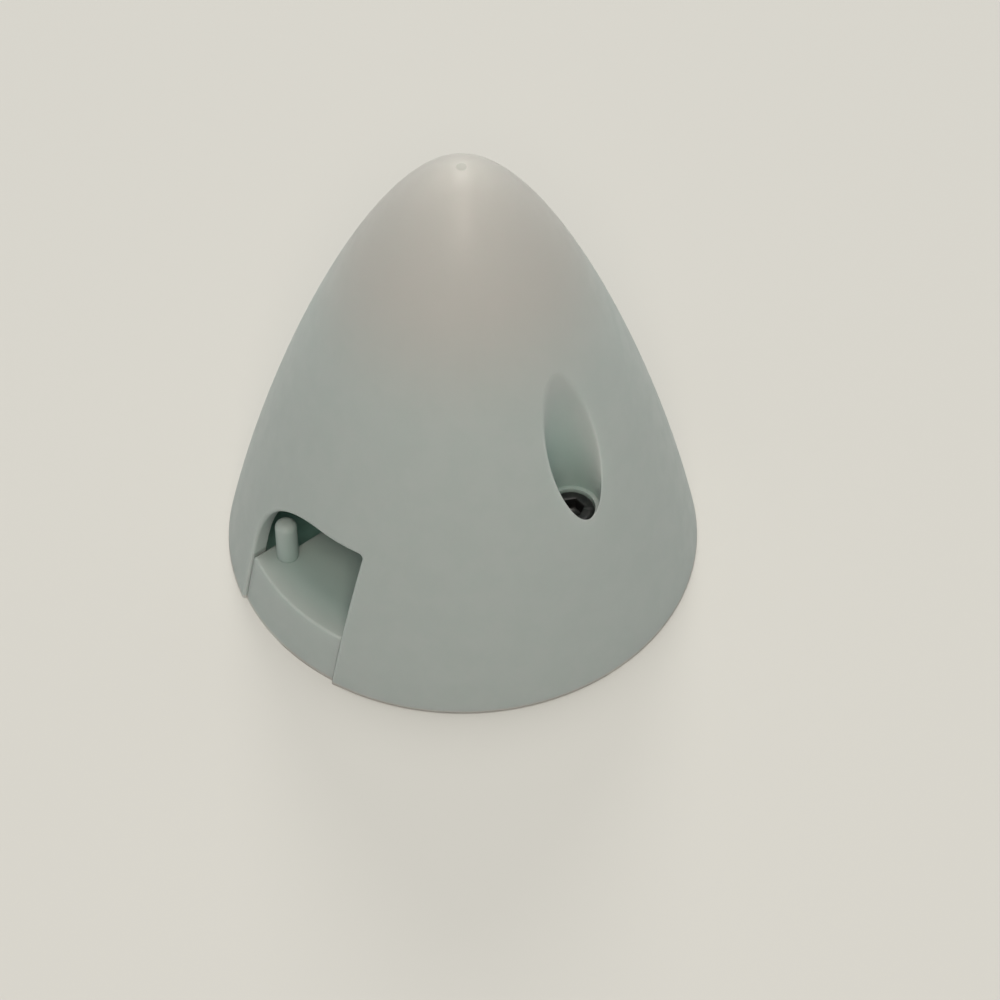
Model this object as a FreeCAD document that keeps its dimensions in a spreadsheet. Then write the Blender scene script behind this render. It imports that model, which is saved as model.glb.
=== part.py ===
"""Propeller spinner for a model aircraft: nose cone, backplate, two cap screws and a shaft adapter ring.

All lengths are millimetres. The crankshaft axis is Z with the nose at the top, and the origin is the
centre of the backplate's rear face. The two blade slots face -X and +X, the two screws stand at -Y and
+Y, and every piece is the same after half a turn about Z.
"""
import FreeCAD, Part
import math
import os
import re

import Sketcher

# Driving dimensions. Every alias is a cell of the sheet, and every feature below is bound to these cells.
SIZES = {
    # Ogive outside of the nose cone: a cubic curve from the base edge to the tip.
    "base_radius": 31.75,        # 2 1/2 in spinner
    "cone_height": 66.2,
    "flank_draw": 6.31,          # how far the second control point leans in from the base edge
    "flank_rise": 28.83,         # height of that point
    "nose_width": 10.42,         # radius of the third control point, level with the tip
    "wall": 2.3,
    "nose_wall": 3.6,
    # Register in the mouth of the cone that drops over the backplate's rim.
    "skirt_wall": 1.85,
    "plate_thickness": 3.0,
    "register_clearance": 0.1,
    "ledge_clearance": 0.15,
    # Blade slots, open at the base, round over the trailing edge of the blade.
    "slot_width": 18.4,
    "slot_top": 20.9,
    "slot_round": 11.5,
    "slot_corner": 0.7,
    # Screw wells and the pillars that hold them.
    "screw_edge": 10.35,         # from the base edge in to the screw's axis
    "well_radius": 3.6,
    "well_wall": 1.4,
    "well_floor": 23.0,
    "boss_height": 11.0,         # where a pillar of the cone meets a boss of the backplate
    "boss_wall": 2.8,
    # Socket head cap screw, 6-32 by 3/4 in.
    "thread_radius": 1.7526,
    "screw_length": 19.05,
    "head_radius": 2.87,
    "head_height": 3.505,
    "head_chamfer": 0.3,
    "key_flats": 2.778,          # 7/64 in hexagon key
    "key_depth": 1.63,
    "tip_chamfer": 0.45,
    "head_sink": 0.1,            # head top below the floor of the well
    "head_clearance": 0.18,
    "shank_clearance": 0.2,
    "thread_clearance": 0.04,
    # Backplate: blade seats and the bed between them, drive posts, hub and ribs.
    "seat_height": 7.2,
    "seat_inset": 0.5,           # outer face of a blade seat behind the surface of the cone
    "seat_depth": 8.15,          # from the base edge in to the inner end of a blade seat
    "seat_clearance": 0.15,
    "bed_width": 13.4,           # flat bed across the plate that joins the seats to the hub
    "post_radius": 1.45,
    "post_edge": 7.15,           # from the base edge in to the post, along X
    "post_gap": 1.25,            # between a post and the side of the slot
    "post_rise": 4.4,            # top of a post above the foot of the slot's arc
    "hub_radius": 11.5,
    "rib_width": 2.4,
    "rib_height": 5.5,
    # Rear face of the backplate.
    "relief_depth": 0.8,
    "relief_margin": 3.0,        # land left at the rim
    "land_width": 2.5,           # land left around the hub
    "core_width": 4.2,
    "core_gap": 1.6,
    "core_wall": 2.0,
    "core_start": 1.5,           # from the hub's land out to a core
    "edge_round": 0.4,
    # Adapter ring for a 1/4 in crankshaft.
    "ring_radius": 4.75,
    "ring_height": 5.0,
    "ring_bore": 3.2,
    "ring_chamfer": 0.35,
    "ring_clearance": 0.05,
    "shaft_hole": 4.2,           # clears the largest crankshaft, 8 mm
}

CORES_PER_SEAT = 2
SAME = 1e-6  # lengths closer than this are equal
CLOSE = 0.01  # slack for the bounding box of a curved edge
QUARTER_TURN = math.pi / 2
PLANES = {"XY": "XY_Plane", "XZ": "XZ_Plane", "YZ": "YZ_Plane"}

doc = FreeCAD.newDocument("PropellerSpinner")


def fill_sheet():
    """Write the driving dimensions into the sheet, one alias to a row."""
    sheet = doc.addObject("Spreadsheet::Sheet", "Sizes")
    for row, (alias, value) in enumerate(SIZES.items(), start=1):
        sheet.set(f"A{row}", alias)
        sheet.set(f"B{row}", str(value))
        sheet.setAlias(f"B{row}", alias)
    doc.recompute()


def cells(expression):
    """Prefix each alias in an expression with the sheet's name."""
    return re.sub(r"[a-z]\w*", lambda word: f"Sizes.{word[0]}" if word[0] in SIZES else word[0], expression)


# Places and sizes that several pieces share, all from the same cells.
REGISTER_RADIUS = "base_radius - skirt_wall"
SCREW_CIRCLE = "base_radius - screw_edge"
PILLAR_RADIUS = "well_radius + well_wall"
BOSS_RADIUS = "thread_radius + boss_wall"
HEAD_SEAT = "well_floor - head_sink - head_height"
POST_CIRCLE = "base_radius - post_edge"
POST_SIDE = "slot_width / 2 - post_gap - post_radius"
POST_HEIGHT = "slot_top - slot_round + post_rise"
SEAT_END = "base_radius - seat_depth"


def new_body(name, label):
    """Start a PartDesign body whose label names its file."""
    body = doc.addObject("PartDesign::Body", name)
    body.Label = label
    return body


def new_sketch(body, name, plane, height=None):
    """Place a sketch on one of the body's origin planes, raised by the height expression."""
    sketch = body.newObject("Sketcher::SketchObject", name)
    role = PLANES[plane]
    support = next(item for item in body.Origin.OriginFeatures if item.Role == role)
    sketch.AttachmentSupport = [(support, "")]
    sketch.MapMode = "FlatFace"
    if height is not None:
        sketch.setExpression("AttachmentOffset.Base.z", cells(height))
    doc.recompute()
    return sketch


def measure(item, expression):
    """Value of an expression in the cells, worked out for any object of the document."""
    return float(item.evalExpression(cells(expression)))


def drive(sketch, kind, expression, *where):
    """Add a driving constraint and bind it to the cells."""
    index = sketch.addConstraint(Sketcher.Constraint(kind, *where, measure(sketch, expression)))
    sketch.setExpression(f"Constraints[{index}]", cells(expression))


def pin(sketch, geometry, point, across, up):
    """Hold a point of the sketch at two expressions. "0" puts it on an axis."""
    if across == "0":
        sketch.addConstraint(Sketcher.Constraint("PointOnObject", geometry, point, -2))
    else:
        drive(sketch, "DistanceX", across, -1, 1, geometry, point)
    if up == "0":
        sketch.addConstraint(Sketcher.Constraint("PointOnObject", geometry, point, -1))
    else:
        drive(sketch, "DistanceY", up, -1, 1, geometry, point)


def spot(sketch, across, up):
    """Starting place of a point that is pinned afterwards."""
    return FreeCAD.Vector(measure(sketch, across), measure(sketch, up), 0)


def circle(sketch, radius, across="0", up="0"):
    """A circle of the given radius, its centre pinned."""
    shape = Part.Circle(spot(sketch, across, up), FreeCAD.Vector(0, 0, 1), measure(sketch, radius))
    index = sketch.addGeometry(shape, False)
    pin(sketch, index, 3, across, up)
    drive(sketch, "Radius", radius, index)


def polygon(sketch, points):
    """A closed outline through the points, each pinned."""
    first = None
    previous = None
    for here, there in zip(points, points[1:] + points[:1]):
        edge = sketch.addGeometry(Part.LineSegment(spot(sketch, *here), spot(sketch, *there)), False)
        pin(sketch, edge, 1, *here)
        if previous is not None:
            sketch.addConstraint(Sketcher.Constraint("Coincident", previous, 2, edge, 1))
        first = edge if first is None else first
        previous = edge
    sketch.addConstraint(Sketcher.Constraint("Coincident", previous, 2, first, 1))


def rectangle(sketch, left, right, bottom, top):
    """A rectangle between four expressions."""
    polygon(sketch, [(left, bottom), (right, bottom), (right, top), (left, top)])


def run_line(sketch, start, end, first, last):
    """A line that joins the end of one edge to the start of another, given as (edge, point)."""
    line = sketch.addGeometry(Part.LineSegment(start, end), False)
    sketch.addConstraint(Sketcher.Constraint("Coincident", *first, line, 1))
    sketch.addConstraint(Sketcher.Constraint("Coincident", line, 2, *last))
    return line


def ogive(sketch, inset):
    """The cone's outline moved in by an inset: the full wall moves the tip down by the nose's wall."""
    drop = f"({inset}) * nose_wall / wall"
    poles = [
        (f"base_radius - ({inset})", "0"),
        (f"base_radius - flank_draw - ({inset})", "flank_rise"),
        (f"nose_width - ({inset}) / 2", f"cone_height - {drop}"),
        ("0", f"cone_height - {drop}"),
    ]
    curve = Part.BSplineCurve()
    spots = [spot(sketch, *pole) for pole in poles]
    curve.buildFromPolesMultsKnots(spots, [4, 4], [0, 1], False, 3)
    index = sketch.addGeometry(curve, False)
    sketch.exposeInternalGeometry(index)
    for step, pole in enumerate(poles, start=1):
        pin(sketch, index + step, 3, *pole)
    return index, spots


def turn(body, kind, name, sketch):
    """Turn a sketch a full circle about the vertical axis."""
    feature = body.newObject(kind, name)
    feature.Profile = sketch
    feature.ReferenceAxis = (sketch, ["V_Axis"])
    feature.Angle = 360
    doc.recompute()
    return feature


def pad(body, name, sketch, length, reverse=False):
    """Raise a sketch by the length expression."""
    feature = body.newObject("PartDesign::Pad", name)
    feature.Profile = sketch
    feature.setExpression("Length", cells(length))
    feature.Reversed = reverse
    doc.recompute()
    return feature


def pocket(body, name, sketch, length=None, upward=False):
    """Cut a sketch to a depth, or right through where no length is given, and see that it cuts."""
    before = body.Shape.Volume
    feature = body.newObject("PartDesign::Pocket", name)
    feature.Profile = sketch
    if length is None:
        feature.Type = "ThroughAll"
    else:
        feature.setExpression("Length", cells(length))
    feature.Reversed = upward
    doc.recompute()
    if body.Shape.Volume >= before:
        raise RuntimeError(f"{name} cuts nothing")
    return feature


def circles_at(body, height, radius):
    """The body's circular edges that lie at a height and have a radius."""
    level = measure(body, height)
    reach = measure(body, radius)
    rims = [edge for edge in body.Shape.Edges if isinstance(curve_of(edge), Part.Circle)]
    return [edge for edge in rims
            if abs(edge.Curve.Center.z - level) < SAME and abs(edge.Curve.Radius - reach) < SAME]


def curve_of(edge):
    """The curve under an edge, or None at a pole, where it has none."""
    return None if edge.Degenerated else edge.Curve


def dress(body, kind, name, edges, size):
    """Fillet or chamfer the given edges of the body's present shape."""
    names = [f"Edge{number}" for number, edge in enumerate(body.Shape.Edges, start=1)
             if any(edge.isSame(chosen) for chosen in edges)]
    base = body.Tip
    feature = body.newObject(f"PartDesign::{kind}", name)
    feature.Base = (base, names)
    feature.setExpression("Radius" if kind == "Fillet" else "Size", cells(size))
    doc.recompute()
    return feature


def half_turn(body, name, features):
    """Repeat features half a turn round the Z axis."""
    pattern = body.newObject("PartDesign::PolarPattern", name)
    pattern.Originals = features
    pattern.Axis = z_axis(body)
    pattern.Angle = 360
    pattern.Occurrences = 2
    body.Tip = pattern
    doc.recompute()
    return pattern


def z_axis(body):
    """The body's own Z axis as a reference."""
    axis = next(item for item in body.Origin.OriginFeatures if item.Role == "Z_Axis")
    return (axis, [""])


def outside_region(sketch, inset):
    """Everything outside the inset ogive, out to a margin that clears the cone."""
    curve, spots = ogive(sketch, inset)
    reach = "base_radius + wall"
    crest = "cone_height + wall"
    corner = spot(sketch, reach, "0")
    peak = spot(sketch, reach, crest)
    top = spot(sketch, "0", crest)
    floor = sketch.addGeometry(Part.LineSegment(spots[0], corner), False)
    side = sketch.addGeometry(Part.LineSegment(corner, peak), False)
    roof = sketch.addGeometry(Part.LineSegment(peak, top), False)
    axis = sketch.addGeometry(Part.LineSegment(top, spots[3]), False)
    pin(sketch, side, 1, reach, "0")
    pin(sketch, roof, 1, reach, crest)
    pin(sketch, axis, 1, "0", crest)
    joins = [(curve, 1, floor, 1), (floor, 2, side, 1), (side, 2, roof, 1), (roof, 2, axis, 1),
             (axis, 2, curve, 2)]
    for join in joins:
        sketch.addConstraint(Sketcher.Constraint("Coincident", *join))


def screw_circles(sketch, radius):
    """A circle about each screw's axis."""
    circle(sketch, radius, "0", f"-1 * ({SCREW_CIRCLE})")
    circle(sketch, radius, "0", SCREW_CIRCLE)


def slot_outline(sketch):
    """Blade slot seen from the side: square over the leading edge, one large arc over the trailing edge."""
    below = "-1 * wall"
    left = "-1 * slot_width / 2"
    right = "slot_width / 2"
    arc_side = "slot_width / 2 - slot_round"
    arc_foot = "slot_top - slot_round"
    corner_side = "slot_corner - slot_width / 2"
    corner_foot = "slot_top - slot_corner"
    normal = FreeCAD.Vector(0, 0, 1)
    big = Part.Circle(spot(sketch, arc_side, arc_foot), normal, measure(sketch, "slot_round"))
    small = Part.Circle(spot(sketch, corner_side, corner_foot), normal, measure(sketch, "slot_corner"))
    lower = sketch.addGeometry(Part.LineSegment(spot(sketch, left, below), spot(sketch, right, below)), False)
    trailing = sketch.addGeometry(
        Part.LineSegment(spot(sketch, right, below), spot(sketch, right, arc_foot)), False)
    arc = sketch.addGeometry(Part.ArcOfCircle(big, 0, QUARTER_TURN), False)
    top = sketch.addGeometry(
        Part.LineSegment(spot(sketch, arc_side, "slot_top"), spot(sketch, corner_side, "slot_top")), False)
    nick = sketch.addGeometry(Part.ArcOfCircle(small, QUARTER_TURN, 2 * QUARTER_TURN), False)
    leading = sketch.addGeometry(
        Part.LineSegment(spot(sketch, left, corner_foot), spot(sketch, left, below)), False)
    pin(sketch, lower, 1, left, below)
    pin(sketch, trailing, 1, right, below)
    pin(sketch, arc, 1, right, arc_foot)
    pin(sketch, top, 1, arc_side, "slot_top")
    pin(sketch, nick, 1, corner_side, "slot_top")
    pin(sketch, leading, 1, left, corner_foot)
    edges = [lower, trailing, arc, top, nick, leading]
    for here, there in zip(edges, edges[1:] + edges[:1]):
        sketch.addConstraint(Sketcher.Constraint("Coincident", here, 2, there, 1))
    drive(sketch, "Radius", "slot_round", arc)
    drive(sketch, "Radius", "slot_corner", nick)


def build_cone():
    """Thin ogive shell with two screw pillars inside, two wells from outside and two blade slots."""
    body = new_body("Cone", "nose_cone")

    pillars = new_sketch(body, "PillarCircles", "XY", "boss_height")
    screw_circles(pillars, PILLAR_RADIUS)
    pad(body, "Pillars", pillars, "cone_height - boss_height")

    beyond = new_sketch(body, "BeyondWall", "XZ")
    outside_region(beyond, "wall / 2")
    turn(body, "PartDesign::Groove", "PillarTrim", beyond)

    section = new_sketch(body, "ShellSection", "XZ")
    outer, outer_spots = ogive(section, "0")
    inner, inner_spots = ogive(section, "wall")
    run_line(section, outer_spots[3], inner_spots[3], (outer, 2), (inner, 2))
    run_line(section, inner_spots[0], outer_spots[0], (inner, 1), (outer, 1))
    turn(body, "PartDesign::Revolution", "Shell", section)

    mouth = new_sketch(body, "RegisterCircle", "XY")
    circle(mouth, REGISTER_RADIUS)
    pocket(body, "Register", mouth, "plate_thickness + ledge_clearance", upward=True)

    wells = new_sketch(body, "WellCircles", "XY", "well_floor")
    screw_circles(wells, "well_radius")
    pocket(body, "Wells", wells, upward=True)

    seats = new_sketch(body, "HeadCircles", "XY", HEAD_SEAT)
    screw_circles(seats, "head_radius + head_clearance")
    pocket(body, "HeadSeats", seats, "head_sink + head_height", upward=True)

    holes = new_sketch(body, "ShankCircles", "XY", HEAD_SEAT)
    screw_circles(holes, "thread_radius + shank_clearance")
    pocket(body, "ShankHoles", holes)

    side = new_sketch(body, "SlotOutline", "YZ")
    slot_outline(side)
    slot = pocket(body, "BladeSlot", side)
    half_turn(body, "BladeSlots", [slot])

    crest = measure(body, "slot_top")
    skin = max(body.Shape.Faces, key=lambda face: face.Area)
    rims = [edge for edge in skin.Edges
            if not edge.Degenerated and CLOSE < edge.BoundBox.ZMax < crest + CLOSE]
    dress(body, "Fillet", "SlotEdges", rims, "edge_round")
    return body


def build_backplate():
    """Plate that fills the mouth of the cone, with a bed for the propeller, drive posts, hub and bosses."""
    body = new_body("Backplate", "backplate")

    seats = new_sketch(body, "SeatOutline", "XY")
    half_width = "slot_width / 2 - seat_clearance"
    rectangle(seats, "-1 * base_radius", f"-1 * ({SEAT_END})", f"-1 * ({half_width})", half_width)
    rectangle(seats, SEAT_END, "base_radius", f"-1 * ({half_width})", half_width)
    pad(body, "BladeSeats", seats, "seat_height")

    beyond = new_sketch(body, "BeyondSeats", "XZ")
    outside_region(beyond, "seat_inset")
    turn(body, "PartDesign::Groove", "SeatTrim", beyond)

    rim = new_sketch(body, "PlateCircle", "XY")
    circle(rim, f"{REGISTER_RADIUS} - register_clearance")
    pad(body, "Plate", rim, "plate_thickness")

    centre = new_sketch(body, "HubCircle", "XY")
    circle(centre, "hub_radius")
    pad(body, "Hub", centre, "seat_height")

    bosses = new_sketch(body, "BossCircles", "XY")
    screw_circles(bosses, BOSS_RADIUS)
    pad(body, "Bosses", bosses, "boss_height")

    bed = new_sketch(body, "BedOutline", "XY")
    rectangle(bed, f"-1 * ({SEAT_END})", SEAT_END, "-1 * bed_width / 2", "bed_width / 2")
    pad(body, "Bed", bed, "seat_height")
    across = new_sketch(body, "RibOutline", "XY")
    rectangle(across, "-1 * rib_width / 2", "rib_width / 2", f"-1 * ({SCREW_CIRCLE})", SCREW_CIRCLE)
    pad(body, "BossRibs", across, "rib_height")

    posts = new_sketch(body, "PostCircles", "XY")
    circle(posts, "post_radius", f"-1 * ({POST_CIRCLE})", POST_SIDE)
    circle(posts, "post_radius", POST_CIRCLE, f"-1 * ({POST_SIDE})")
    pad(body, "DrivePosts", posts, POST_HEIGHT)
    dress(body, "Fillet", "PostDomes", circles_at(body, POST_HEIGHT, "post_radius"), "post_radius * 3 / 4")

    socket = new_sketch(body, "RingSeatCircle", "XY")
    circle(socket, "ring_radius + ring_clearance")
    pocket(body, "RingSeat", socket, "ring_height", upward=True)
    shaft = new_sketch(body, "ShaftCircle", "XY")
    circle(shaft, "shaft_hole")
    pocket(body, "ShaftHole", shaft, upward=True)

    threads = new_sketch(body, "ThreadCircles", "XY")
    screw_circles(threads, "thread_radius + thread_clearance")
    pocket(body, "ThreadHoles", threads, upward=True)

    relief = new_sketch(body, "ReliefCircles", "XY")
    circle(relief, f"{REGISTER_RADIUS} - register_clearance - relief_margin")
    circle(relief, "hub_radius + land_width")
    pocket(body, "RearRelief", relief, "relief_depth", upward=True)

    cores = new_sketch(body, "CoreOutlines", "XY")
    core_near = "hub_radius + land_width + core_start"
    core_far = f"{REGISTER_RADIUS} - core_wall"
    for number in range(CORES_PER_SEAT):
        offset = f"{number - (CORES_PER_SEAT - 1) / 2} * (core_width + core_gap)"
        low = f"{offset} - core_width / 2"
        high = f"{offset} + core_width / 2"
        rectangle(cores, core_near, core_far, low, high)
        rectangle(cores, f"-1 * ({core_far})", f"-1 * ({core_near})", low, high)
    pocket(body, "SeatCores", cores, "seat_height - core_wall", upward=True)

    level = measure(body, "seat_height")
    inner_end = measure(body, SEAT_END)
    rims = [edge for edge in body.Shape.Edges
            if max(abs(edge.BoundBox.ZMin - level), abs(edge.BoundBox.ZMax - level)) < CLOSE
            and abs(edge.CenterOfMass.x) > inner_end + CLOSE
            and not isinstance(curve_of(edge), Part.Circle)]
    dress(body, "Fillet", "SeatEdges", rims, "edge_round")
    return body


def build_screw(name, label, side):
    """Socket head cap screw, modelled from the underside of its head and set down on its seat."""
    body = new_body(name, label)

    crown = new_sketch(body, f"{name}HeadCircle", "XY")
    circle(crown, "head_radius")
    pad(body, f"{name}Head", crown, "head_height")

    stem = new_sketch(body, f"{name}ShankCircle", "XY")
    circle(stem, "thread_radius")
    pad(body, f"{name}Shank", stem, "screw_length", reverse=True)

    crest = circles_at(body, "head_height", "head_radius")
    dress(body, "Chamfer", f"{name}HeadChamfer", crest, "head_chamfer")
    tip = circles_at(body, "-1 * screw_length", "thread_radius")
    dress(body, "Chamfer", f"{name}TipChamfer", tip, "tip_chamfer")

    key = new_sketch(body, f"{name}KeyOutline", "XY", "head_height")
    half = "key_flats / 2"
    corner = "key_flats / 2 / cos(30deg)"
    lean = "key_flats / 2 * tan(30deg)"
    polygon(key, [(half, f"-1 * {lean}"), (half, lean), ("0", corner), (f"-1 * {half}", lean),
                  (f"-1 * {half}", f"-1 * {lean}"), ("0", f"-1 * {corner}")])
    pocket(body, f"{name}KeySocket", key, "key_depth")

    body.setExpression("Placement.Base.y", cells(f"{side} * ({SCREW_CIRCLE})"))
    body.setExpression("Placement.Base.z", cells(HEAD_SEAT))
    doc.recompute()
    return body


def build_ring():
    """Adapter ring between the backplate's hub and the crankshaft."""
    body = new_body("Ring", "adapter_ring")
    outline = new_sketch(body, "RingCircles", "XY")
    circle(outline, "ring_radius")
    circle(outline, "ring_bore")
    pad(body, "RingBarrel", outline, "ring_height")
    rims = [edge for height in ("0", "ring_height") for radius in ("ring_radius", "ring_bore")
            for edge in circles_at(body, height, radius)]
    dress(body, "Chamfer", "RingChamfers", rims, "ring_chamfer")
    return body


def check_and_write(bodies):
    """Stop if anything in the document failed, then write one STEP file for each piece."""
    doc.recompute()
    for item in doc.Objects:
        if "Invalid" in item.State or "Error" in item.State:
            raise RuntimeError(f"{item.Name} did not compute: {item.State}")
    os.makedirs("parts", exist_ok=True)
    for body in bodies:
        shape = body.Shape
        if shape.isNull() or not shape.isValid() or len(shape.Solids) != 1:
            raise RuntimeError(f"{body.Label} is not one valid solid")
        shape.exportStep(f"parts/{body.Label}.step")
        box = shape.optimalBoundingBox()
        print(f"{body.Label}: {shape.Volume:.1f} mm3, x {box.XMin:.2f} to {box.XMax:.2f}, "
              f"y {box.YMin:.2f} to {box.YMax:.2f}, z {box.ZMin:.2f} to {box.ZMax:.2f}")


fill_sheet()
check_and_write([
    build_cone(),
    build_backplate(),
    build_screw("ScrewA", "cap_screw_a", "-1"),
    build_screw("ScrewB", "cap_screw_b", "1"),
    build_ring(),
])
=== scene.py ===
import logging
import math
from collections.abc import Callable
from dataclasses import dataclass, field
from enum import Enum

import bmesh
import bpy
import numpy as np
from mathutils import Matrix, Vector


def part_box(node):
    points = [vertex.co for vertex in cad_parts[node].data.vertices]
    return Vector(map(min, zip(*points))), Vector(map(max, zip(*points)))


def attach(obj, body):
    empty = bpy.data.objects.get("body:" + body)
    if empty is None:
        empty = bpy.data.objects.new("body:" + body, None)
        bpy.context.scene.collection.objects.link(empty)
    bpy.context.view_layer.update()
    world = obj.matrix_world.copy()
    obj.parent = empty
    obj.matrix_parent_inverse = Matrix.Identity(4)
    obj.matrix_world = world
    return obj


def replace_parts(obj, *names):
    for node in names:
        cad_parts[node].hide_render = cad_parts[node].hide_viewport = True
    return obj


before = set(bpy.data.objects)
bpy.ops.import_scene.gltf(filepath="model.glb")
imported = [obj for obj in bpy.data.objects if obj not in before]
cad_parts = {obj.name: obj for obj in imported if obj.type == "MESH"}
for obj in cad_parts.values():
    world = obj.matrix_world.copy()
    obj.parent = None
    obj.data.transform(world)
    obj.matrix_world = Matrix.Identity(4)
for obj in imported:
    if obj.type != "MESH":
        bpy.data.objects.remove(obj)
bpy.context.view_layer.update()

LOG = logging.getLogger("spinner")
MM = 0.001
WELD = 1e-4
TINY = 1e-9

Colour = tuple[float, float, float]
Span = tuple[float, float]
Profile = tuple[Span, ...]
RadiusAt = Callable[[float, float], float]


def rgba(colour: Colour) -> tuple[float, float, float, float]:
    """Return the colour with full alpha."""
    return (*colour, 1.0)


def smoothstep(low: float, high: float, value: np.ndarray) -> np.ndarray:
    """Blend from 0 to 1 with level ends.

    Args:
        low: where the blend starts.
        high: where it ends.
        value: the numbers to blend.

    Returns:
        The blend for each number.
    """
    share = np.clip((value - low) / (high - low), 0.0, 1.0)
    return share * share * (3.0 - 2.0 * share)


class Body(Enum):
    """The one body that every piece rides on."""

    ROOT = "root"


class Slot(Enum):
    """Material slots of the record."""

    NYLON = "white_nylon"
    STEEL = "black_oxide_steel"
    DARK_NYLON = "black_nylon"


# ---------------------------------------------------------------------------------------------------
# Shader building
# ---------------------------------------------------------------------------------------------------


class Graph:
    """A node tree with short calls for adding and joining nodes."""

    def __init__(self, tree: bpy.types.NodeTree) -> None:
        """Start from an empty tree."""
        self.tree = tree
        self.tree.nodes.clear()

    def add(self, kind: str, **settings: object) -> bpy.types.Node:
        """Add a node and set its properties.

        Args:
            kind: Blender's name of the node's type.
            settings: properties of the node.

        Returns:
            The new node.
        """
        node = self.tree.nodes.new(kind)
        for name, value in settings.items():
            setattr(node, name, value)
        return node

    def join(self, source: bpy.types.NodeSocket, target: bpy.types.NodeSocket) -> None:
        """Link one socket to another."""
        self.tree.links.new(source, target)

    def feed(self, socket: bpy.types.NodeSocket, value: object) -> None:
        """Give a socket either a link or a plain value."""
        if isinstance(value, bpy.types.NodeSocket):
            self.join(value, socket)
        else:
            socket.default_value = value

    def maths(self, operation: str, *values: object) -> bpy.types.NodeSocket:
        """Combine numbers or sockets by a Math node.

        Args:
            operation: Blender's name of the operation.
            values: one to three numbers or sockets.

        Returns:
            The output socket.
        """
        node = self.add("ShaderNodeMath", operation=operation)
        for socket, value in zip(node.inputs, values):
            self.feed(socket, value)
        return node.outputs[0]

    def noise(self, where: bpy.types.NodeSocket, scale: object, detail: float = 3.0,
              roughness: float = 0.6) -> bpy.types.NodeSocket:
        """Add a noise texture.

        Args:
            where: the coordinates.
            scale: features for each metre.
            detail: number of finer octaves.
            roughness: strength of the finer octaves.

        Returns:
            The noise value, about 0.5 on average.
        """
        node = self.add("ShaderNodeTexNoise", noise_dimensions="3D")
        self.join(where, node.inputs["Vector"])
        self.feed(node.inputs["Scale"], scale)
        self.feed(node.inputs["Detail"], detail)
        self.feed(node.inputs["Roughness"], roughness)
        return node.outputs["Fac"]

    def band(self, value: bpy.types.NodeSocket, low: float, high: float,
             to_low: float = 0.0, to_high: float = 1.0) -> bpy.types.NodeSocket:
        """Map a range of values smoothly to another and hold it there.

        Args:
            value: the number to map.
            low: value that gives to_low.
            high: value that gives to_high.
            to_low: result at and beyond low.
            to_high: result at and beyond high.

        Returns:
            The mapped value.
        """
        node = self.add("ShaderNodeMapRange", interpolation_type="SMOOTHSTEP", clamp=True)
        for socket, number in zip(node.inputs[:5], (value, low, high, to_low, to_high)):
            self.feed(socket, number)
        return node.outputs["Result"]

    def window(self, value: bpy.types.NodeSocket, rise: Span, fall: Span) -> bpy.types.NodeSocket:
        """Mask a range of values, with soft sides.

        Args:
            value: the number to test.
            rise: where the mask goes from 0 to 1.
            fall: where it goes from 1 back to 0.

        Returns:
            The mask.
        """
        return self.maths("MULTIPLY", self.band(value, *rise), self.band(value, fall[1], fall[0]))

    def blend(self, share: object, below: object, above: object) -> bpy.types.NodeSocket:
        """Mix two colours.

        Args:
            share: how much of the second colour.
            below: first colour or socket.
            above: second colour or socket.

        Returns:
            The mixed colour.
        """
        node = self.add("ShaderNodeMix", data_type="RGBA", blend_type="MIX", clamp_factor=True)
        self.feed(node.inputs[0], share)
        self.feed(node.inputs[6], below)
        self.feed(node.inputs[7], above)
        return node.outputs[2]


def new_material(name: str) -> tuple[bpy.types.Material, Graph]:
    """Make an empty material.

    Args:
        name: its name.

    Returns:
        The material and the graph of its nodes.
    """
    made = bpy.data.materials.new(name)
    made.use_nodes = True
    return made, Graph(made.node_tree)


def finish_surface(g: Graph, colour: bpy.types.NodeSocket, rough: bpy.types.NodeSocket,
                   height: bpy.types.NodeSocket, strength: float, relief: float,
                   **constants: object) -> None:
    """Close a material with a Principled surface and its bump.

    Args:
        g: the material's graph.
        colour: feeds Base Color.
        rough: feeds Roughness.
        height: height of the bump.
        strength: strength of the bump.
        relief: its depth in millimetres.
        constants: other inputs of the surface by name, with _ for a space.
    """
    bump = g.add("ShaderNodeBump")
    bump.inputs["Strength"].default_value = strength
    bump.inputs["Distance"].default_value = relief * MM
    g.join(height, bump.inputs["Height"])
    shader = g.add("ShaderNodeBsdfPrincipled")
    g.join(colour, shader.inputs["Base Color"])
    g.join(rough, shader.inputs["Roughness"])
    g.join(bump.outputs["Normal"], shader.inputs["Normal"])
    for label, value in constants.items():
        shader.inputs[label.replace("_", " ")].default_value = value
    g.join(shader.outputs[0], g.add("ShaderNodeOutputMaterial").inputs["Surface"])


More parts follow.
